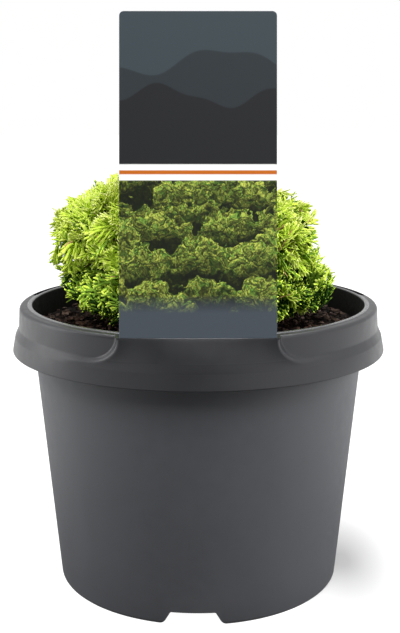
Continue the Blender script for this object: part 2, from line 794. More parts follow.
# The soil.
def soil_height(x, y):
    """The lumpy top of the soil, lower at the pot's wall and level round the trunk."""
    radius = np.hypot(x, y)
    lump = sum(np.sin(x * a + y * b) for a, b in SOIL["waves"]) / len(SOIL["waves"])
    crest = SOIL["crest"] + SOIL["bump"] * lump
    wall = body_radius(SOIL["edge"]) - POT["wall"] - GAP
    to_wall = np.clip((radius - SOIL["outer_ring"]) / (wall - SOIL["outer_ring"]), 0, 1)
    to_seat = np.clip((SOIL["inner_ring"] - radius) / (SOIL["inner_ring"] - SOIL["seat_radius"]), 0, 1)
    height = crest + (SOIL["edge"] - crest) * to_wall
    return height + (SOIL["seat"] - height) * to_seat


def roughened(x, y, height):
    """Finer lumps over the soil's top."""
    pitch = SOIL["lump_pitch"]
    rows = [noise.fractal(Vector((a * pitch, b * pitch, 3.1)), 0.9, 2.1, 4)
            for a, b in zip(x.ravel(), y.ravel())]
    return height + np.array(rows).reshape(height.shape) * SOIL["lumps"]


def soil_wall(height):
    """How far out the soil reaches, just inside the pot's wall."""
    return body_radius(height) - POT["wall"] - GAP


def make_soil():
    """The bed of peat, with crumbs and flakes strewn over its top."""
    wall, sides, step = soil_wall(SOIL["edge"]), SOIL_MESH["sides"], SOIL_MESH["ring_step"]
    rings = np.linspace(wall, step, round(wall / step))
    turns = np.arange(sides) * 2 * math.pi / sides
    x = rings[:, None] * np.sin(turns)
    y = -rings[:, None] * np.cos(turns)
    top = roughened(x, y, soil_height(x, y))
    low, foot, bevel = soil_wall(SOIL["foot"]), SOIL["foot"], SOIL["foot_bevel"]
    side = [np.stack([r * np.sin(turns), -r * np.cos(turns), np.full(sides, z)], axis=-1)
            for r, z in ((low - bevel, foot), (low, foot + bevel))]
    grid = np.concatenate([side, np.stack([x, y, top], axis=-1)])
    bed = body_of_grid("soil_bed", grid, (0, 0, foot), (0, 0, top[-1].mean()), [peat()])
    smooth(bed.data)
    settle(bed, "soil", "soil")
    points, quads = soil_sheet(wall - SOIL_MESH["strewn_margin"], SOIL_MESH["strewn_rows"])
    finishes = (
        peat(),
        flake_bark("dark_flake", colour(0.0030, 0.0018, 0.0014), colour(0.068, 0.038, 0.027)),
        flake_bark("pale_flake", colour(0.030, 0.019, 0.015), colour(0.17, 0.115, 0.090)),
    )
    for (name, lumps), material in zip(STREWN.items(), finishes):
        base = piece_of(name, points, quads, [material])
        scatter(base, *lumps, material)
        settle(base, "soil", "soil")


def soil_sheet(reach, rows):
    """The soil's top as a round sheet of quads, for things to be strewn on."""
    x, y = np.meshgrid(np.linspace(-reach, reach, rows), np.linspace(-reach, reach, rows))
    points = np.stack([x, y, roughened(x, y, soil_height(x, y))], axis=-1).reshape(-1, 3)
    row, column = np.meshgrid(np.arange(rows - 1), np.arange(rows - 1), indexing="ij")
    corner = row * rows + column
    quads = np.stack([corner, corner + 1, corner + rows + 1, corner + rows], axis=-1).reshape(-1, 4)
    middle = points[quads].mean(axis=1)
    return points, quads[np.hypot(middle[:, 0], middle[:, 1]) < reach]


def scatter_tree():
    """Broken lumps scattered over a surface, each turned, sized and roughened by the seed."""
    inputs = (("Surface", "Geometry"), ("Density", "Float"), ("Seed", "Int"), ("Smallest", "Float"),
              ("Largest", "Float"), ("Shape", "Vector"), ("Material", "Material"))
    tree, given, out = blank_group("scatter_lumps", [(*label, None) for label in inputs],
                                   (("Lumps", "Geometry"),), "GeometryNodeTree")
    spots = node(tree, "GeometryNodeDistributePointsOnFaces",
                 {"Mesh": given["Surface"], "Density": given["Density"], "Seed": given["Seed"]})
    lump = node(tree, "GeometryNodeMeshIcoSphere", {"Radius": 1.0, "Subdivisions": 1})
    turn = node(tree, "FunctionNodeRandomValue", {0: (-0.5, -0.5, 0.0), 1: (0.5, 0.5, 6.283),
                                                  "Seed": given["Seed"]}, data_type="FLOAT_VECTOR")
    size = node(tree, "FunctionNodeRandomValue", {2: given["Smallest"], 3: given["Largest"],
                                                  "Seed": given["Seed"]}, data_type="FLOAT")
    placed = node(tree, "GeometryNodeInstanceOnPoints",
                  {"Points": spots.outputs["Points"], "Instance": lump.outputs["Mesh"],
                   "Rotation": turn.outputs[0],
                   "Scale": vectors(tree, "SCALE", {0: given["Shape"], "Scale": size.outputs[1]})})
    real = node(tree, "GeometryNodeRealizeInstances", {0: placed.outputs[0]})
    crags = node(tree, "ShaderNodeTexNoise", {"Scale": 900.0, "Detail": 1.0})
    pull = vectors(tree, "SUBTRACT", {0: crags.outputs["Color"], 1: (0.5, 0.5, 0.5)})
    broken = node(tree, "GeometryNodeSetPosition",
                  {0: real.outputs[0],
                   "Offset": vectors(tree, "SCALE", {0: pull, "Scale": given["Smallest"]})})
    dressed = node(tree, "GeometryNodeSetMaterial", {0: broken.outputs[0], "Material": given["Material"]})
    tree.links.new(dressed.outputs[0], out["Lumps"])
    return tree


SCATTER = scatter_tree()


def scatter(base, count, smallest, largest, shape, seed, material):
    """The piece becomes the lumps that the tree scatters on it."""
    area = sum(polygon.area for polygon in base.data.polygons)
    step = base.modifiers.new("scatter", "NODES")
    step.node_group = SCATTER
    values = {"Density": count / area, "Seed": seed, "Smallest": smallest * MM / 2,
              "Largest": largest * MM / 2, "Shape": shape, "Material": material}
    for item in SCATTER.interface.items_tree:
        if item.in_out == "INPUT" and item.name in values:
            step[item.identifier] = values[item.name]
    keep_evaluated(base)


# The print: its hills as a height and swells, and its levels, in millimetres over the card's foot.
PRINT = {
    "far_hill": (121.0, ((0.085, 0.6, 5.5), (0.21, 2.0, 1.6))),
    "near_hill": (106.0, ((0.11, 3.4, 4.5), (0.27, 0.4, 1.2))),
    "band": (69.0, 76.0),
    "line": (71.6, 73.4),
    "foot": (19.0, 11.0),
}
INKS = {
    "sky": colour(0.0280, 0.0370, 0.0425),
    "far_hill": colour(0.0185, 0.0225, 0.0255),
    "near_hill": colour(0.0128, 0.0134, 0.0146),
    "foot": colour(0.0400, 0.0485, 0.0590),
    "band": colour(0.62, 0.62, 0.61),
    "line": colour(0.33, 0.085, 0.009),
    "light_leaf": colour(0.40, 0.44, 0.075),
    "deep_leaf": colour(0.090, 0.200, 0.030),
    "between_leaves": colour(0.0060, 0.0075, 0.0050),
}
# The printed bushes, coarse and fine: their scale, where they darken and lighten, and how dark.
BUSHES = ((0.066, -6.0, 6.5, 0.02), (0.27, -1.5, 1.3, 0.22))


def ridge(tree, across, base, swells):
    """The height of a rounded ridge line across the card, in millimetres."""
    height = base
    for pitch, phase, swell in swells:
        wave = maths(tree, "SINE", maths(tree, "MULTIPLY_ADD", across, pitch, phase))
        height = maths(tree, "MULTIPLY_ADD", wave, swell, height)
    return height


def below(tree, value, edge, soft=0.25):
    """1 where a height is under an edge, 0 over it."""
    return ramp(tree, maths(tree, "SUBTRACT", edge, value), -soft, soft)


def over(tree, mask, ink, picture):
    """The picture with an ink laid over it where the mask says."""
    return mixed(tree, mask, picture, ink)


def bed_of_leaves(tree, place):
    """Rounded bushes of small leaves, lighter above, dark at the foot and between the leaves."""
    drift = node(tree, "ShaderNodeTexNoise", {"Vector": place, "Scale": 0.16, "Detail": 3.0})
    drift = vectors(tree, "SUBTRACT", {0: drift.outputs["Color"], 1: (0.5, 0.5, 0.5)})
    drift = vectors(tree, "SCALE", {0: drift, "Scale": 13.0})
    strayed = vectors(tree, "ADD", {0: place, 1: drift})
    crests = []
    for scale, low, high, dark in BUSHES:
        clumps = node(tree, "ShaderNodeTexVoronoi", {"Vector": strayed, "Scale": scale, "Randomness": 0.9})
        off = vectors(tree, "SUBTRACT", {0: strayed, 1: clumps.outputs["Position"]})
        rise = node(tree, "ShaderNodeSeparateXYZ", {0: off}).outputs[1]
        crests.append(ramp(tree, rise, low, high, dark))
    leaves = node(tree, "ShaderNodeTexVoronoi", {"Vector": strayed, "Scale": 0.85, "Randomness": 1.0})
    blade = ramp(tree, leaves.outputs["Distance"], 0.75, 0.15, 0.12)
    light = maths(tree, "MULTIPLY", maths(tree, "MULTIPLY", *crests), blade)
    tone = node(tree, "ShaderNodeSeparateColor", {0: leaves.outputs["Color"]}).outputs[0]
    leaf = over(tree, tone, INKS["light_leaf"], INKS["deep_leaf"])
    return over(tree, maths(tree, "MULTIPLY", light, 1.6, use_clamp=True), leaf, INKS["between_leaves"])


def band_between(tree, height, low, high):
    """1 between two heights, 0 past them."""
    return maths(tree, "SUBTRACT", below(tree, height, high), below(tree, height, low))


def printed_card():
    """A plain garden print: slate hills, a level pale band and a bed of rounded green clumps."""
    made, tree, shader = finish_of("printed_card", Coat_Weight=0.06, Coat_Roughness=0.25,
                                   Specular_IOR_Level=0.12)
    place = node(tree, "ShaderNodeUVMap", uv_map="print").outputs[0]
    across, height, _ = node(tree, "ShaderNodeSeparateXYZ", {0: place}).outputs
    picture = INKS["sky"]
    for hill in ("far_hill", "near_hill"):
        picture = over(tree, below(tree, height, ridge(tree, across, *PRINT[hill])), INKS[hill], picture)
    picture = over(tree, below(tree, height, PRINT["band"][0]), bed_of_leaves(tree, place), picture)
    picture = over(tree, ramp(tree, height, *PRINT["foot"]), INKS["foot"], picture)
    for stripe in ("band", "line"):
        picture = over(tree, band_between(tree, height, *PRINT[stripe]), INKS[stripe], picture)
    sheen = grain(tree, place_in_object(tree), 700.0, 2.0, 0.00004, 0.25)
    feed(tree, shader, Base_Color=picture, Roughness=between(tree, sheen["Height"], 0.30, 0.42),
         Normal=sheen["Normal"])
    return made


def card_stock():
    """The card's bare back."""
    return mottled("card_stock", 0.4, (60.0, 12.0), colour(0.60, 0.60, 0.585),
                   colour(0.68, 0.68, 0.665), (0.40, 0.55), (1500.0, 3.0, 0.00005, 0.3))


def card_place():
    """From the card's own plane, its foot at the origin, to its place in the rim."""
    foot = Matrix.Translation((0, -CARD["face"], POT["height"] - CARD["sunk"]))
    return foot @ Matrix.Rotation(-CARD["lean"], 4, "X")


def card_outline():
    """The card as [across, up], with the tongue that goes into the rim under it."""
    half, tongue = CARD["width"] / 2, CARD["tongue_width"] / 2
    return rounded([
        (CARD["tongue_taper"] - tongue, -CARD["tongue_depth"], 0.8),
        (tongue - CARD["tongue_taper"], -CARD["tongue_depth"], 0.8),
        (tongue, 0, 0.4),
        (half, 0, 0.3),
        (half, CARD["height"], CARD["corner"]),
        (-half, CARD["height"], CARD["corner"]),
        (-half, 0, 0.3),
        (-tongue, 0, 0.4),
    ])


def make_card():
    """The card with its edges eased, and its print laid out in its own plane."""
    half, thick, ease = CARD["width"] / 2, CARD["thick"], CARD["ease"]
    outline = card_outline()
    work = lofted([[(x * (1 - inset / half), depth, z + inset * (1 - 2 * z / CARD["height"]))
                    for x, z in outline]
                   for depth, inset in ((0, ease), (ease, 0), (thick - ease, 0), (thick, ease))])
    layer = work.loops.layers.uv.new("print")
    for face in work.faces:
        on_back = all(vert.co.y > thick - ease / 2 for vert in face.verts)
        face.material_index = int(on_back)
        for loop in face.loops:
            loop[layer].uv = (loop.vert.co.x, loop.vert.co.z)
    card = in_scene(mesh_from("picture_card", work, card_place()), (printed_card(), card_stock()))
    settle(card, "card", "card")


# The trunk and the boughs.
def through(points, steps):
    """Evenly spaced places on a smooth curve through some points."""
    ends = [2 * points[0] - points[1], *points, 2 * points[-1] - points[-2]]
    run = []
    for a, b, c, d in zip(ends, ends[1:], ends[2:], ends[3:]):
        ta = 0.0
        tb = ta + math.sqrt(np.linalg.norm(b - a))
        tc = tb + math.sqrt(np.linalg.norm(c - b))
        td = tc + math.sqrt(np.linalg.norm(d - c))
        t = np.linspace(tb, tc, 40)[:, None]
        ab = (tb - t) / (tb - ta) * a + (t - ta) / (tb - ta) * b
        bc = (tc - t) / (tc - tb) * b + (t - tb) / (tc - tb) * c
        cd = (td - t) / (td - tc) * c + (t - tc) / (td - tc) * d
        abc = (tc - t) / (tc - ta) * ab + (t - ta) / (tc - ta) * bc
        bcd = (td - t) / (td - tb) * bc + (t - tb) / (td - tb) * cd
        run.append((tc - t) / (tc - tb) * abc + (t - tb) / (tc - tb) * bcd)
    return evenly(np.concatenate(run), steps)


def evenly(run, steps):
    """A run of places, spaced evenly along its length."""
    length = np.concatenate([[0], np.cumsum(np.linalg.norm(np.diff(run, axis=0), axis=1))])
    wanted = np.linspace(0, length[-1], steps + 1)
    return np.stack([np.interp(wanted, length, run[:, k]) for k in range(3)], axis=-1)


def bent(foot, bend, tip, steps):
    """Places on a limb that leaves its foot towards a bend and ends at its tip."""
    t = np.linspace(0, 1, steps * 2 + 1)[:, None]
    return evenly((1 - t) ** 2 * foot + 2 * t * (1 - t) * bend + t ** 2 * tip, steps)


def trunk_line():
    """Places up the middle of the trunk."""
    foot = SOIL["seat"] + GAP
    return through([
        np.array([0, 0, foot - TRUNK["sunk"]]),
        np.array([0, 0, foot + TRUNK["flare_height"]]),
        np.array([*TRUNK["waist"], (foot + TRUNK["tip"]) / 2]),
        np.array([*TRUNK["lean"], TRUNK["tip"]]),
    ], TRUNK["steps"])


def trunk_radius(share):
    rise = share * (TRUNK["tip"] - SOIL["seat"] - GAP)
    flare = (TRUNK["flare"] - TRUNK["foot"]) * np.exp(-rise * TRUNK["flare_fall"] / TRUNK["flare_height"])
    return TRUNK["foot"] + (TRUNK["end"] - TRUNK["foot"]) * share ** TRUNK["taper"] + flare


def bough_line(mass, trunk):
    """Places along the middle of a mass's bough, from the trunk."""
    share = (mass["root"] - SOIL["seat"]) / (TRUNK["tip"] - SOIL["seat"])
    foot = trunk[round(share * (len(trunk) - 1))]
    tip = foot + (mass["centre"] - foot) * BOUGH["share"]
    run = tip - foot
    bend = (foot + tip) / 2 - UP * BOUGH["sag"] * np.linalg.norm(run) + np.cross(UP, run) * BOUGH["sweep"]
    return bent(foot, bend, tip, BOUGH["steps"])


def bark_relief(limb, seed):
    """Strips of bark along a limb, as a share of its radius at each corner."""
    rings, sides = limb["steps"] + 1, limb["sides"]
    rows = []
    for ring in range(rings):
        for side in range(sides):
            turn = side * 2 * math.pi / sides
            across, out = math.cos(turn) * limb["strips"], math.sin(turn) * limb["strips"]
            rows.append(noise.fractal(Vector((across, out, ring * 0.11 + seed * 7.3)), 0.8, 2.2, 4))
    return 1 + limb["relief"] * np.array(rows).reshape(rings, sides)


def make_bark(masses, trunk):
    """The bark's own surface, in place of the trunk's and the boughs' solids."""
    bark = cypress_bark("cypress_bark", colour(0.050, 0.026, 0.017), colour(0.235, 0.150, 0.100))
    share = np.linspace(0, 1, len(trunk))
    turn = np.arange(TRUNK["sides"]) * 2 * math.pi / TRUNK["sides"]
    ribs = RIBS["proud"] * np.cos(RIBS["count"] * turn + RIBS["turn"])[None]
    relief = bark_relief(TRUNK, 1) * (1 + ribs * np.exp(-share * RIBS["fade"])[:, None])
    points, faces = rods(trunk[None], trunk_radius(share)[None], TRUNK["sides"], relief[None])
    points[:, 2] = np.maximum(points[:, 2], SOIL["seat"] + GAP)
    settle(piece_of("trunk_bark", points, faces, [bark]), "bark", "trunk")
    radii = np.linspace(BOUGH["foot"], BOUGH["tip"], BOUGH["steps"] + 1)
    for k, mass in enumerate(masses):
        if "bough" in mass:
            relief = bark_relief(BOUGH, 3 + k)
            points, faces = rods(mass["bough"][None], radii[None], BOUGH["sides"], relief[None])
            settle(piece_of(f"bark_{mass['name']}", points, faces, [bark]), "bark", f"bough_{mass['name']}")


# The crown: the masses' places and spaces.
def crown_x(height):
    """Where the crown's middle is along X, for it leans a little to one side higher up."""
    return np.interp(height, *zip(*CROWN["lean"]))


def lay_out_masses():
    """Where each mass is and how far it reaches, with the draws that its blades go on from."""
    draw = seeded(MASS["seed"])

    def stray(size):
        return (draw() * 2 - 1) * size

    masses = []
    for tier in TIERS:
        middle = crown_x(tier["height"])
        for i in range(tier["count"]):
            turn = (i + tier["turn"]) / tier["count"] * 2 * math.pi + stray(LOOSE["turn"])
            out = tier["ring"] * (1 + stray(LOOSE["ring"]))
            height = tier["height"] + stray(LOOSE["height"])
            masses.append({
                "name": f"{tier['name']}_{i + 1}",
                "centre": np.array([middle + out * math.cos(turn), out * math.sin(turn), height]),
                "reach": tier["reach"] * (1 + stray(LOOSE["reach"])),
                "root": tier["root"] + (i * 2 % tier["count"]) * tier["root_step"],
            })
    masses.append({"name": TOP["name"], "centre": np.array([crown_x(TOP["height"]), 0, TOP["height"]]),
                   "reach": TOP["reach"]})
    return masses, draw


def in_crown(points, mass):
    """Which points keep inside the crown and the mass's own ball, above the soil."""
    height = points[:, 2]
    out = np.hypot(points[:, 0] - crown_x(height), points[:, 1])
    full = out <= np.interp(height, CROWN["heights"], CROWN["radii"])
    near = np.linalg.norm(points - mass["centre"], axis=1) < mass["reach"]
    within = (height >= SOIL["seat"] + SOIL["bump"] + GAP) & (height <= CROWN["heights"][-1])
    return full & near & within


def in_space(points, mass, masses):
    """Which of them also keep on the mass's own side of its neighbours."""
    away = ((points - mass["centre"]) ** 2).sum(axis=1) - mass["reach"] ** 2
    kept = in_crown(points, mass)
    for other in masses:
        if other is mass:
            continue
        margin = GAP * np.linalg.norm(mass["centre"] - other["centre"])
        theirs = ((points - other["centre"]) ** 2).sum(axis=1) - other["reach"] ** 2
        kept &= theirs >= away + margin
    return kept


def clear_of_limbs(points, limbs):
    places, radii = limbs
    gaps = np.linalg.norm(points[:, None] - places, axis=-1)
    return (gaps >= radii + 2 * GAP).all(axis=1)


def reach_along(direction, mass, fits):
    near, far = 0.0, mass["reach"]
    for _ in range(HALVINGS):
        middle = (near + far) / 2
        if fits(mass["centre"][None] + direction * middle)[0]:
            near = middle
        else:
            far = middle
    return near


# The sprays: flat fans of scaly shoots. Each size is its side shoots, their fingers and its width.
FAN = {
    "kinds": 10,
    "long": (9, 2, 0.037),
    "short": (6, 2, 0.052),
    "short_under": 16.0,
    "first": 0.13,
    "last": 0.90,
    "wide_angle": 1.05,
    "narrow_angle": 0.46,
    "longest": 0.52,
    "shortest": 0.15,
    "swell": (0.25, 0.72),
    "hook": 1.1,
    "flatness": 0.5,
    "seed": 71,
}
RIB = {"width": 1.05, "aim": 0.05, "bend": 0.22}
FINGER = {"at": (0.30, 0.55), "size": (0.60, 0.50), "lean": 0.60, "width": 0.92, "curl": 0.7}
# How far side shoots and fingers stray by chance.
SHOOT_STRAY = {"start": 0.015, "aim": 0.20, "length": 0.16, "tilt": 0.28, "width": 0.12}
FINGER_STRAY = {"at": 0.06, "lean": 0.20, "size": 0.25, "tilt": 0.5}
# A shoot's sections, as [place along it, share of its width]: the scale leaves make its edge wavy.
LONG_SHOOT = ((0.05, 0.75), (0.34, 1.0), (0.60, 0.88), (0.88, 0.92))
SHORT_SHOOT = ((0.25, 1.0), (0.82, 0.82))
MIDRIB = ((0.02, 0.7), (0.22, 0.85), (0.45, 0.72), (0.66, 0.92), (0.88, 0.82))


def shoot(start, aim, length, width, bend, tilt, sections):
    """One flat shoot in a spray's plane: diamond sections between two pointed ends.

    Its last array is each face's shade, from 1 at the root to 3 at the tip."""
    share = np.array([0.0] + [s for s, _ in sections] + [1.0])
    half = width * np.array([w for _, w in sections])
    heading = aim + bend * share
    along = start[0] + length * (share * math.cos(aim) - bend * share ** 2 / 2 * math.sin(aim))
    out = start[1] + length * (share * math.sin(aim) + bend * share ** 2 / 2 * math.cos(aim))
    rise = start[2] + tilt * length * share
    spine = np.stack([along, out, rise], axis=-1)
    side = np.stack([-np.sin(heading), np.cos(heading), 0 * heading], axis=-1)[1:-1]
    thick = half[:, None] * FAN["flatness"] * np.array([[0, 0, 1.0]])
    middle = spine[1:-1]
    rings = np.stack([middle + side * half[:, None], middle + thick,
                      middle - side * half[:, None], middle - thick], axis=1)
    count = len(sections)
    points = np.concatenate([rings.reshape(-1, 3), spine[:1], spine[-1:]])
    ring, corner = np.meshgrid(np.arange(count - 1), np.arange(4), indexing="ij")
    here = ring * 4 + corner
    beside = ring * 4 + (corner + 1) % 4
    wall = np.concatenate([np.stack([here, beside, beside + 4], axis=-1).reshape(-1, 3),
                           np.stack([here, beside + 4, here + 4], axis=-1).reshape(-1, 3)])
    corner = np.arange(4)
    following = (corner + 1) % 4
    root = np.stack([np.full(4, count * 4), following, corner], axis=-1)
    last = (count - 1) * 4
    tip = np.stack([np.full(4, count * 4 + 1), last + corner, last + following], axis=-1)
    paler = 1 + (np.arange(count - 1) * 2 >= count - 1)
    shades = np.concatenate([np.tile(np.repeat(paler, 4), 2), np.full(4, 1), np.full(4, 3)])
    return points, np.concatenate([wall, root, tip]), shades


def fan_kind(draw, side_shoots, fingers, full_width):
    """A spray one unit long: a midrib, side shoots to left and right in turn, and fingers on those."""
    def stray(size):
        return draw.uniform(-size, size)

    points, faces, shades = shoot((0, 0, 0), stray(RIB["aim"]), 1.0, full_width * RIB["width"],
                                  stray(RIB["bend"]), 0.0, MIDRIB)
    parts = [(points, faces, np.where(shades == 3, 2, 0))]
    tips = [(1.0, 0.0, 0.0)]
    hand = draw.choice([-1, 1])
    for k in range(side_shoots):
        share = k / (side_shoots - 1)
        start = FAN["first"] + (FAN["last"] - FAN["first"]) * share + stray(SHOOT_STRAY["start"])
        hand = -hand
        aim = FAN["wide_angle"] + (FAN["narrow_angle"] - FAN["wide_angle"]) * share
        aim += stray(SHOOT_STRAY["aim"])
        swell = math.sin(math.pi * (FAN["swell"][0] + FAN["swell"][1] * share))
        length = FAN["shortest"] + (FAN["longest"] - FAN["shortest"]) * swell
        length *= 1 + stray(SHOOT_STRAY["length"])
        tilt = stray(SHOOT_STRAY["tilt"])
        bend = -hand * draw.uniform(0.0, FAN["hook"])
        width = full_width * (1 + stray(SHOOT_STRAY["width"]))
        parts.append(shoot((start, 0, 0), hand * aim, length, width, bend, tilt, LONG_SHOOT))
        tips.append((start + length * (math.cos(aim) - hand * bend / 2 * math.sin(aim)),
                     hand * length * (math.sin(aim) + hand * bend / 2 * math.cos(aim)), 0.0))
        for finger in range(fingers):
            at = FINGER["at"][finger] + stray(FINGER_STRAY["at"])
            lean = (1, -1)[finger] * -hand * (FINGER["lean"] + stray(FINGER_STRAY["lean"]))
            spot = (start + length * at * math.cos(hand * aim + bend * at / 2),
                    length * at * math.sin(hand * aim + bend * at / 2), tilt * length * at)
            size = length * FINGER["size"][finger] * (1 + stray(FINGER_STRAY["size"]))
            parts.append(shoot(spot, hand * aim + bend * at + lean, size, width * FINGER["width"],
                               -lean * FINGER["curl"], tilt + stray(FINGER_STRAY["tilt"]), SHORT_SHOOT))
    points, faces = joined([part[:2] for part in parts])
    return {"points": points, "faces": faces, "shades": np.concatenate([part[2] for part in parts]),
            "tips": np.array(tips)}


def spray_points(spray, flat):
    """Points of a spray given as (along, out, rise) in its length: it cups and sweeps as it goes."""
    along, out, rise = flat.T
    cup = spray["cup"] * ((along - 0.5) ** 2 + out ** 2)
    out = out + spray["sweep"] * along ** 2
    length = spray["length"]
    return (spray["root"] + spray["direction"] * (along * length)[:, None]
            + spray["side"] * (out * length)[:, None] + spray["face"] * ((rise - cup) * length)[:, None])


def oriented(root, direction, face, length, draw):
    """A spray's place and lie, with its own cup and sweep."""
    side = unit(np.cross(face, direction))
    return {"root": root, "direction": direction, "face": unit(np.cross(direction, side)), "side": side,
            "length": length, "cup": BLADE["curl"] + draw.uniform(*SPRAY_STRAY["cup"]),
            "sweep": draw.uniform(-SPRAY_STRAY["sweep"], SPRAY_STRAY["sweep"])}


def fitted(root_at, direction, face, longest, room):
    """The longest spray that keeps to its room, with the number of tries it took, or none."""
    draw = room["draw"]
    spray = oriented(root_at(0, longest), direction, face, longest, draw)
    kind = room["kinds"]["long"][draw.randint(FAN["kinds"])]
    short = room["kinds"]["short"][draw.randint(FAN["kinds"])]
    for i in range(BLADE["tries"]):
        spray["length"] = longest * BLADE["shrink"] ** i
        spray["root"] = root_at(i, spray["length"])
        spray["kind"] = kind if spray["length"] > FAN["short_under"] else short
        spray["tries"] = i
        if room["fits"](spray_points(spray, spray["kind"]["tips"])).all():
            return spray
    return None


def laid(out, lay, twist, lift=MASS["lift"]):
    """A spray's direction and face, from the way out and how it lies and twists about that."""
    lean = swung(unit(np.cross(out, UP)), out, lay)
    direction = unit(out + UP * lift + lean * MASS["lay"])
    return direction, swung(unit(np.cross(direction, lean)), direction, twist)


def spread(count, outward):
    """Ways out from a mass's centre, evenly spread, the first along its stem."""
    axis = unit(np.cross(UP, outward))
    tilt = math.acos(np.clip(np.dot(UP, outward), -1, 1))
    for k in range(count):
        height = 1 - 2 * (k + 0.5) / count
        flat = math.sqrt(1 - height * height)
        turn = k * GOLDEN_TURN
        yield k, height, swung(np.array([flat * math.cos(turn), flat * math.sin(turn), height]), axis, tilt)


def along_spray(spray, share):
    return spray["root"] + spray["direction"] * spray["length"] * share


def root_under(mass, to_edge, direction):
    """Where a spray starts so that its tip keeps to the mass's edge, drawn in a little at each try."""
    return lambda i, length: mass["centre"] + to_edge * BLADE["draw_in"] ** i - direction * length


def main_sprays(mass, outward, room, source_draw):
    """One spray for each blade of the mass's solid: of its lays, the one that fits first."""
    foot, run = mass["stem"][0], mass["stem"][1] - mass["stem"][0]
    mains = []
    for k, height, out in spread(MASS["sprays"], outward):
        lays = [(source_draw() * 2 * math.pi, (source_draw() - 0.5) * math.pi) for _ in range(MASS["lays"])]
        if height < MASS["back"]:
            continue
        edge = reach_along(out, mass, room["fits"]) * MASS["fill"]
        found = []
        for lay, twist in lays:
            direction, face = laid(out, lay, twist)
            root_at = root_under(mass, out * edge, direction)
            found.append(fitted(root_at, direction, face, BLADE["length"], room))
        found = [spray for spray in found if spray]
        if not found:
            continue
        main = min(found, key=lambda spray: spray["tries"])
        share = MASS["first_twig"] + (MASS["last_twig"] - MASS["first_twig"]) * k / MASS["sprays"]
        main["foot"] = foot + run * share
        main["depth"] = 0.0
        mains.append(main)
    return mains


def filler_sprays(mass, outward, mains, room):
    """Shorter sprays wherever the mass's edge is too far from any tip."""
    draw = room["draw"]
    fillers = []
    ends = [along_spray(main, 1) for main in mains]
    for _, height, out in spread(FILLER["ways"], outward):
        edge = reach_along(out, mass, room["fits"]) * MASS["fill"]
        tip = mass["centre"] + out * edge
        if height < FILLER["back"] or np.linalg.norm(np.array(ends) - tip, axis=1).min() < FILLER["apart"]:
            continue
        lift = np.interp(out[2], FILLER["droop_from"], (FILLER["droop"], MASS["lift"]))
        for _ in range(FILLER["lays"]):
            lay, twist = draw.uniform(0, 2 * math.pi), draw.uniform(-0.5, 0.5) * math.pi
            direction, face = laid(out, lay, twist, lift)
            root_at = root_under(mass, out * edge, direction)
            filler = fitted(root_at, direction, face, FILLER["length"], room)
            if filler:
                near = min(mains, key=lambda main: np.linalg.norm(main["root"] - filler["root"]))
                filler["foot"] = near["foot"] + (near["root"] - near["foot"]) * FILLER["off_twig"]
                filler["depth"] = FILLER["depth"]
                fillers.append(filler)
                ends.append(along_spray(filler, 1))
                break
    return fillers


def grow_sprays(mass, masses, limbs, kinds, source_draw, draw):
    """The sprays of one mass, and the twigs that carry them as pairs of ends."""
    def fits(points):
        return in_space(points, mass, masses) & clear_of_limbs(points, limbs)

    room = {"fits": fits, "kinds": kinds, "draw": draw}
    outward = unit(mass["centre"] - mass["stem"][0])
    mains = main_sprays(mass, outward, room, source_draw)
    sprays = mains + filler_sprays(mass, outward, mains, room)
    for main in mains:
        sprays += side_sprays(main, room)
    return sprays, [(spray["foot"], along_spray(spray, MASS["twig_sunk"])) for spray in sprays]


def side_sprays(main, room):
    """The sprays that branch off a main one's twig, each on a twig of its own."""
    draw = room["draw"]
    found = []
    for turn, tilt, back, size in SIDE_SPRAYS:
        turn = turn + draw.uniform(-SPRAY_STRAY["turn"], SPRAY_STRAY["turn"])
        tilt = tilt + draw.uniform(-SPRAY_STRAY["tilt"], SPRAY_STRAY["tilt"])
        root = main["root"] + (main["foot"] - main["root"]) * back
        direction = unit(swung(swung(main["direction"], main["face"], turn), main["side"], tilt))
        twist = draw.uniform(-SPRAY_STRAY["twist"], SPRAY_STRAY["twist"])
        face = swung(swung(main["face"], main["side"], tilt), direction, twist)
        spray = fitted(lambda i, length: root, direction, face, BLADE["length"] * size, room)
        if spray:
            spray["foot"] = root
            spray["depth"] = back
            found.append(spray)
    return found


def tint_of(spray, draw):
    """How green a spray is, from 1 in the sun, which leaves the palest for its tips, to the last inside."""
    middle = along_spray(spray, GREENING["seen_at"])
    out = np.hypot(middle[0] - crown_x(middle[2]), middle[1]) / CROWN["full"]
    high = (middle[2] - SOIL["seat"]) / (CROWN["heights"][-1] - SOIL["seat"])
    shade = (GREENING["start"] - GREENING["high"] * high - GREENING["out"] * out
             + GREENING["depth"] * spray["depth"] + draw.uniform(-GREENING["chance"], GREENING["chance"]))
    return int(np.clip(round(shade), 1, len(SHOOT_TINTS) - 1))


def limb_places(masses, trunk):
    """Places along the trunk and boughs, with their radii, for the sprays to keep clear of."""
    places = [trunk[::10]]
    radii = [trunk_radius(np.linspace(0, 1, len(trunk))[::10])]
    for mass in masses:
        if "bough" in mass:
            places.append(mass["bough"][::3])
            radii.append(np.linspace(BOUGH["foot"], BOUGH["tip"], len(mass["bough"]))[::3])
    return np.concatenate(places), np.concatenate(radii)


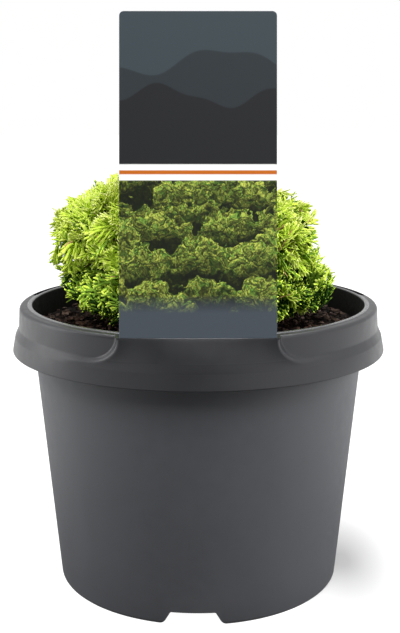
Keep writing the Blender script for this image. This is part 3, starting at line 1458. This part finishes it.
def make_foliage(masses, trunk, source_draw):
    """Each mass's sprays as one piece and its twigs as another."""
    draw = np.random.RandomState(FAN["seed"])
    kinds = {size: [fan_kind(draw, *FAN[size]) for _ in range(FAN["kinds"])] for size in ("long", "short")}
    limbs = limb_places(masses, trunk)
    bark = cypress_bark("twig_bark", colour(0.030, 0.018, 0.010), colour(0.125, 0.082, 0.040))
    for mass in masses:
        sprays, twigs = grow_sprays(mass, masses, limbs, kinds, source_draw, draw)
        parts, dealt = [], []
        for spray in sprays:
            kind = spray["kind"]
            parts.append((spray_points(spray, kind["points"]), kind["faces"]))
            tint = tint_of(spray, draw)
            rib = TWIG_TINT if draw.uniform(0, 1) < FREE_RIBS else min(tint + 1, TWIG_TINT - 1)
            tints = np.clip([tint + 1, tint, tint - 1], 0, TWIG_TINT - 1)
            dealt.append(np.array([rib, *tints])[kind["shades"]])
        points, faces = joined(parts)
        piece = piece_of(f"sprays_{mass['name']}", points, faces, SHOOTS, np.concatenate(dealt))
        settle(piece, "foliage", f"foliage_{mass['name']}")
        make_twigs(mass, twigs, bark)


def make_twigs(mass, twigs, bark):
    """The stem on from the bough's tip, and the twigs that carry the sprays."""
    stem = np.linspace(*mass["stem"], TWIG["stem_places"])
    stem_radii = np.linspace(MASS["stem_radius"], TWIG["stem_tip"], TWIG["stem_places"])
    foot = np.array([a for a, _ in twigs])[:, None]
    tip = np.array([b for _, b in twigs])[:, None]
    share = np.linspace(0, 1, TWIG["places"])[None, :, None]
    sag = np.linalg.norm(tip - foot, axis=-1, keepdims=True) * TWIG["sag"]
    paths = foot + (tip - foot) * share - UP * sag * 4 * share * (1 - share)
    radii = np.broadcast_to(np.linspace(TWIG["foot"], TWIG["tip"], TWIG["places"]),
                            (len(twigs), TWIG["places"]))
    points, faces = joined([rods(stem[None], stem_radii[None], TWIG["stem_sides"]),
                            rods(paths, radii, TWIG["sides"])])
    settle(piece_of(f"twigs_{mass['name']}", points, faces, [bark]), "bark", f"foliage_{mass['name']}")


def make_plant():
    """The trunk and boughs, then the masses that grow on from them."""
    masses, source_draw = lay_out_masses()
    trunk = trunk_line()
    for mass in masses:
        start = trunk[-1]
        if "root" in mass:
            mass["bough"] = bough_line(mass, trunk)
            start = mass["bough"][-1]
        outward = unit(mass["centre"] - start)
        past = reach_along(outward, mass, lambda points: in_space(points, mass, masses))
        mass["stem"] = (start, mass["centre"] + outward * past * MASS["core"] * MASS["stem_share"])
    make_bark(masses, trunk)
    make_foliage(masses, trunk, source_draw)


# The stage. Each soft box: its place, its size, its watts, whether gloss shows it and whether it lights.
SOFT_BOXES = {
    "top_light": ((-0.14, -0.78, 1.02), (0.8, 0.6), 20.5, False, True),
    "lip_glow": ((0.0, 0.10, 1.30), (0.9, 0.5), 32.0, True, False),
    "window_light": ((0.75, -0.95, 1.00), (0.8, 0.8), 8.0, True, True),
    "left_glow": ((-1.00, 0.15, 0.42), (0.6, 0.8), 4.5, True, True),
    "left_light": ((-1.00, 0.15, 0.42), (0.6, 0.8), 14.0, False, True),
    "right_light": ((1.00, 0.00, 0.42), (0.8, 0.8), 20.5, False, True),
}
AIM = Vector((0, 0, 0.14))
FLOOR_REACH = 6.0
# The soft shadow on the floor: its shape and middle, how far it fades, and how dark it is.
SHADOW = {"squeeze": (2.2, 1.0, 1.0), "middle": (0.172, 0.004, 0.0), "fade": (0.008, 0.096), "dark": 0.26}


def make_lights():
    for name, (place, size, power, mirrored, lights) in SOFT_BOXES.items():
        data = bpy.data.lights.new(name, "AREA")
        data.shape = "RECTANGLE"
        data.size, data.size_y = size
        data.energy = power
        light = in_scene(data)
        light.visible_glossy = mirrored
        light.visible_diffuse = lights
        light.location = place
        light.rotation_mode = "QUATERNION"
        light.rotation_quaternion = (AIM - Vector(place)).to_track_quat("-Z", "Y")


def make_camera():
    camera = in_scene(bpy.data.cameras.new("camera"))
    camera.location = Vector(EYE) * MM
    camera.rotation_euler = (math.pi / 2 - LOOK_DOWN, 0, 0)
    camera.data.lens = LENS
    camera.data.sensor_width = 36.0
    camera.data.clip_start = 0.01
    bpy.context.scene.camera = camera


def make_room():
    """White behind the object, nearly dark to it, with a darker side that only its gloss shows."""
    world = bpy.data.worlds.new("studio")
    world.use_nodes = True
    bpy.context.scene.world = world
    tree = world.node_tree
    path = node(tree, "ShaderNodeLightPath").outputs
    way = vectors(tree, "DOT_PRODUCT", {0: node(tree, "ShaderNodeTexCoord").outputs["Generated"],
                                        1: (-0.47, -0.88, 0.0)})
    mirrored = maths(tree, "MULTIPLY", path["Is Glossy Ray"], ramp(tree, way, 0.55, 0.97, 0.95, 0.05))
    shown = maths(tree, "MAXIMUM", maths(tree, "MAXIMUM", path["Is Camera Ray"], mirrored), 0.12)
    background = tree.nodes["Background"]
    background.inputs["Color"].default_value = colour(1, 1, 1)
    tree.links.new(shown, background.inputs["Strength"])


def pale_floor():
    """White to the eye but for a soft shadow, and dim boards to the gloss and the light."""
    made, tree, shader = finish_of("pale_floor", Roughness=0.9, Emission_Color=colour(1, 1, 1))
    place = place_in_object(tree)
    path = node(tree, "ShaderNodeLightPath").outputs
    squeezed = vectors(tree, "MULTIPLY", {0: place, 1: SHADOW["squeeze"]})
    away = vectors(tree, "DISTANCE", {0: squeezed, 1: SHADOW["middle"]})
    glow = ramp(tree, away, *SHADOW["fade"], SHADOW["dark"])
    aside = maths(tree, "ABSOLUTE", node(tree, "ShaderNodeSeparateXYZ", {0: place}).outputs[0])
    boards = ramp(tree, aside, 0.13, 0.28, 0.10, 1.4)
    dim = maths(tree, "MAXIMUM", maths(tree, "MULTIPLY", path["Is Glossy Ray"], boards), 0.10)
    feed(tree, shader, Emission_Strength=mixed(tree, path["Is Camera Ray"], dim, glow, kind="FLOAT"),
         Base_Color=mixed(tree, path["Is Camera Ray"], colour(0.08, 0.08, 0.08), colour(0.20, 0.20, 0.20)))
    return made


def make_floor():
    mesh = bpy.data.meshes.new("floor")
    corners = [(x * FLOOR_REACH, y * FLOOR_REACH, 0) for x, y in ((-1, -1), (1, -1), (1, 1), (-1, 1))]
    mesh.from_pydata(corners, [], [(0, 1, 2, 3)])
    floor = in_scene(mesh, [pale_floor()])


def make_stage():
    scene = bpy.context.scene
    scene.view_settings.view_transform = "Standard"
    scene.view_settings.look = "None"
    make_camera()
    make_room()
    make_lights()
    make_floor()


make_stage()
make_pot()
make_soil()
make_card()
make_plant()
